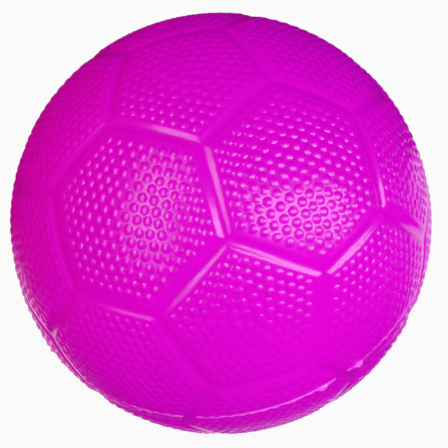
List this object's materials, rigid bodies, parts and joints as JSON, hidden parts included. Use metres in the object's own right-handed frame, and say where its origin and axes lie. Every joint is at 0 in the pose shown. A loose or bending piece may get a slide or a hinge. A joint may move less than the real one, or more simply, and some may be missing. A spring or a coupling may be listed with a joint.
{
  "type": "handball",
  "caption": "Moulded rubber handball with raised pentagon and hexagon panels over a wound carcass, an inner bladder and a needle valve whose core pulls out.",
  "frame": {"origin": "centre of the ball", "axes": "+Z along the axis of the panels' layout, through the middle of a pentagon; the parting plane goes through the centre, tilted 3.8 degrees from the XY plane; -Y is the front, where a pentagon of the upper ring faces"},
  "size_m": [0.15, 0.15, 0.15],
  "materials": {
    "cover_rubber": "gloss",
    "thread": "matte",
    "bladder_rubber": "matte",
    "patch_rubber": "matte",
    "valve_rubber": "satin",
    "core_rubber": "satin"
  },
  "bodies": {
    "ball": {"upper_cover": "cover_rubber", "lower_cover": "cover_rubber", "thread_winding": "thread", "bladder": "bladder_rubber", "valve_patch": "patch_rubber", "valve_housing": "valve_rubber"},
    "core": {"valve_core": "core_rubber"}
  },
  "joints": [
    {"name": "core_pull", "type": "slide", "parent": "ball", "child": "core", "axis": [-0.5257, 0.7236, 0.4472], "range_m": [0, 0.03]}
  ]
}
